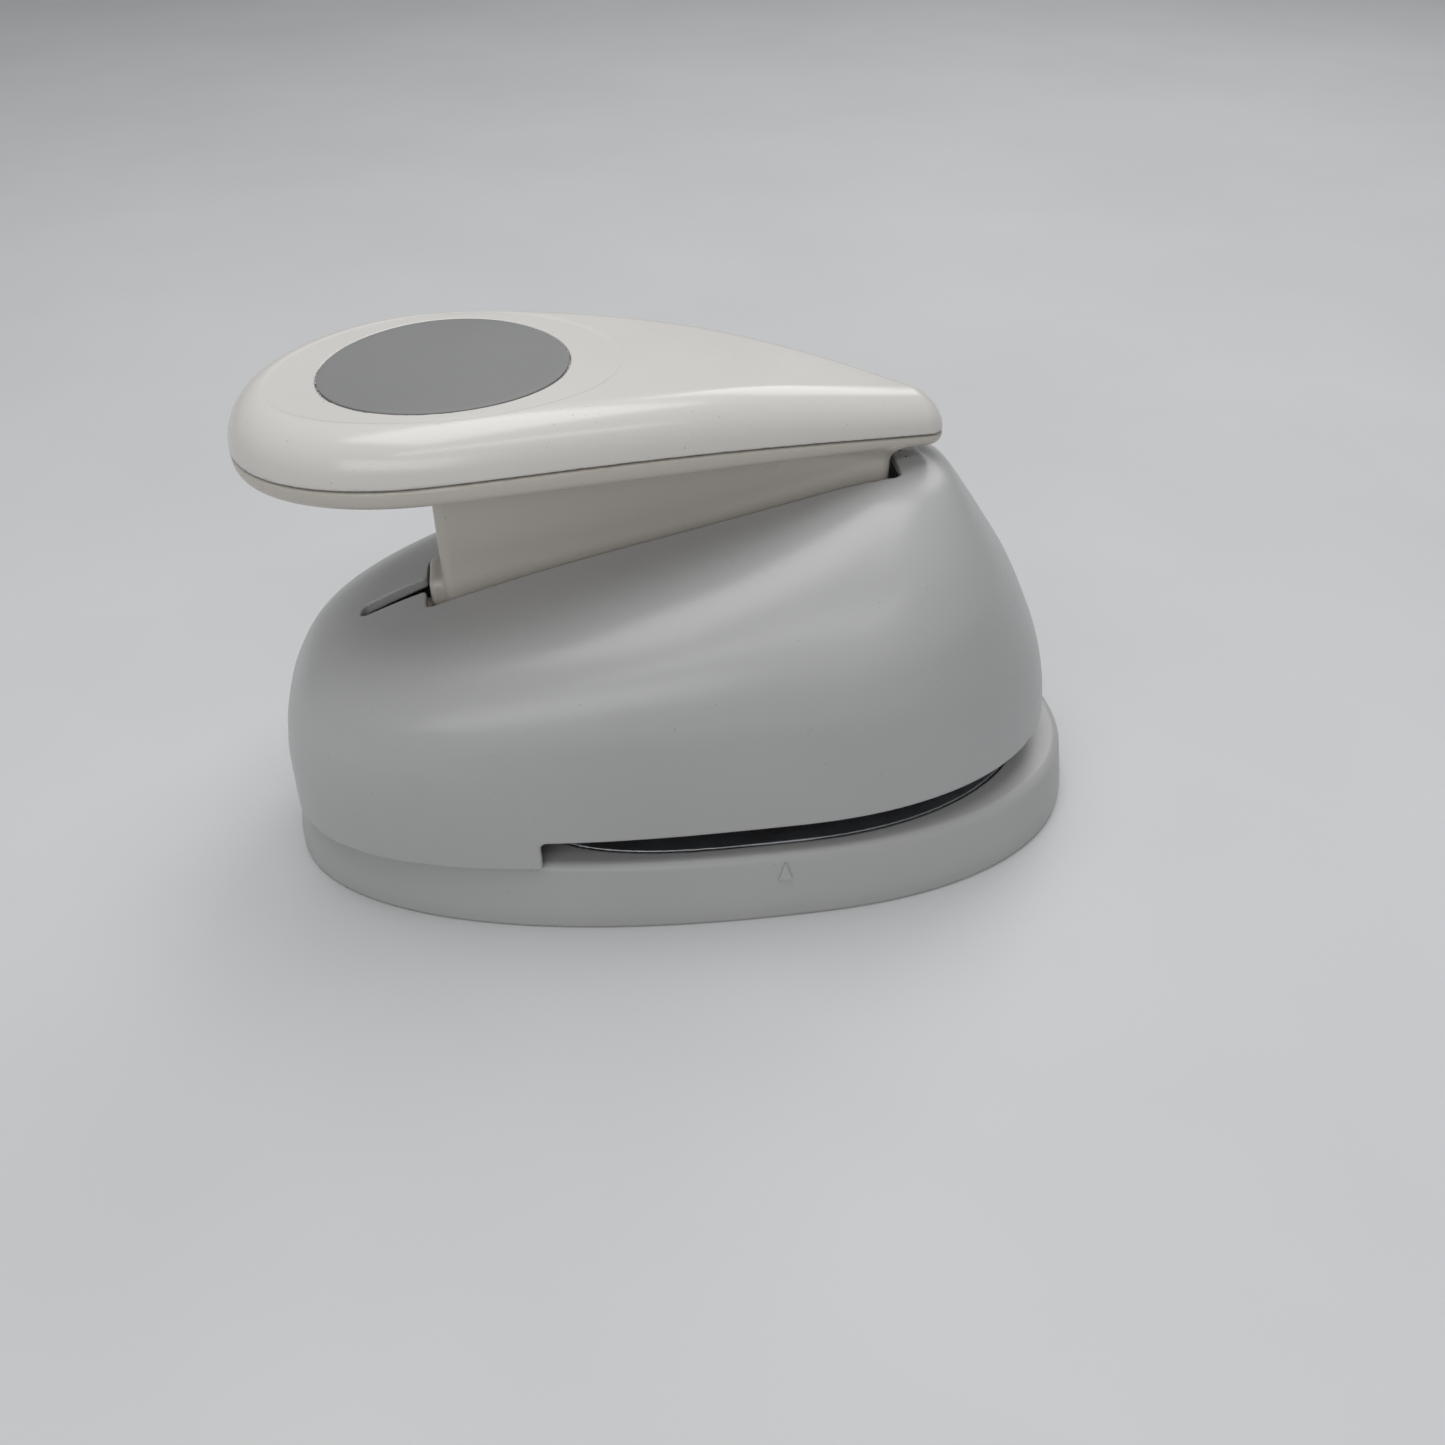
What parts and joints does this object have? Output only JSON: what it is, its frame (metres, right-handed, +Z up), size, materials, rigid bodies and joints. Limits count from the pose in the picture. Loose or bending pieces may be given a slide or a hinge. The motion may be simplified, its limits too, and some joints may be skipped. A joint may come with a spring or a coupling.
{
  "type": "craft punch",
  "caption": "Lever-operated paper punch for cutting large circles: a press lever hinged on an egg-shaped housing drives a round punch through a side-open paper throat into a die.",
  "frame": {"origin": "middle of the base's underside", "axes": "+X towards the throat end, where the lever is hinged; +Z up; the tool is symmetric about the XZ plane apart from its three punch screws"},
  "size_m": [0.1567, 0.0812, 0.0956],
  "materials": {
    "shell_grey": "glossy moulded ABS, light neutral grey",
    "base_grey": "satin moulded ABS, neutral grey",
    "lever_ivory": "semi-gloss moulded ABS, warm ivory white",
    "disc_grey": "flat printed label, mid grey",
    "mechanism_plastic": "unpainted moulded plastic",
    "steel": "bright zinc-plated steel",
    "zinc": "die-cast zinc with ground cutting faces"
  },
  "bodies": {
    "housing": {"base_shell": "base_grey", "die_plate": "zinc", "throat_spacer": "mechanism_plastic", "guide_plate": "zinc", "upper_shell": "shell_grey", "pivot_pin": "steel", "pivot_retainer": "mechanism_plastic", "guide_post_1": "steel", "guide_post_2": "steel", "guide_post_3": "steel", "guide_post_4": "steel", "return_spring_1": "steel", "return_spring_2": "steel", "return_spring_3": "steel", "return_spring_4": "steel", "housing_screw_1": "steel", "housing_screw_2": "steel", "housing_screw_3": "steel", "housing_screw_4": "steel", "die_screw_1": "steel", "die_screw_2": "steel", "die_screw_3": "steel", "die_screw_4": "steel", "guide_screw_1": "steel", "guide_screw_2": "steel", "retainer_screw_1": "steel", "retainer_screw_2": "steel"},
    "lever": {"lever_frame": "lever_ivory", "lever_cover": "lever_ivory", "size_disc": "disc_grey", "lever_screw_1": "steel", "lever_screw_2": "steel", "lever_screw_3": "steel", "lever_screw_4": "steel"},
    "punch": {"punch_cutter": "zinc", "pusher": "mechanism_plastic", "punch_screw_1": "steel", "punch_screw_2": "steel", "punch_screw_3": "steel"}
  },
  "joints": [
    {"name": "lever_pivot", "type": "hinge", "parent": "housing", "child": "lever", "pos_m": [0.043, 0, 0.058], "axis": [0, -1, 0], "range_deg": [0, 15.4]},
    {"name": "punch_slide", "type": "slide", "parent": "housing", "child": "punch", "axis": [0, 0, -1], "range_m": [0, 0.0078], "stiffness_N_per_m": 1500, "springref_m": -0.003, "deforming": ["return_spring_1", "return_spring_2", "return_spring_3", "return_spring_4"]}
  ],
  "couplings": [
    {"joint": "lever_pivot", "follows": "punch_slide", "rad_per_m": 34.45}
  ]
}
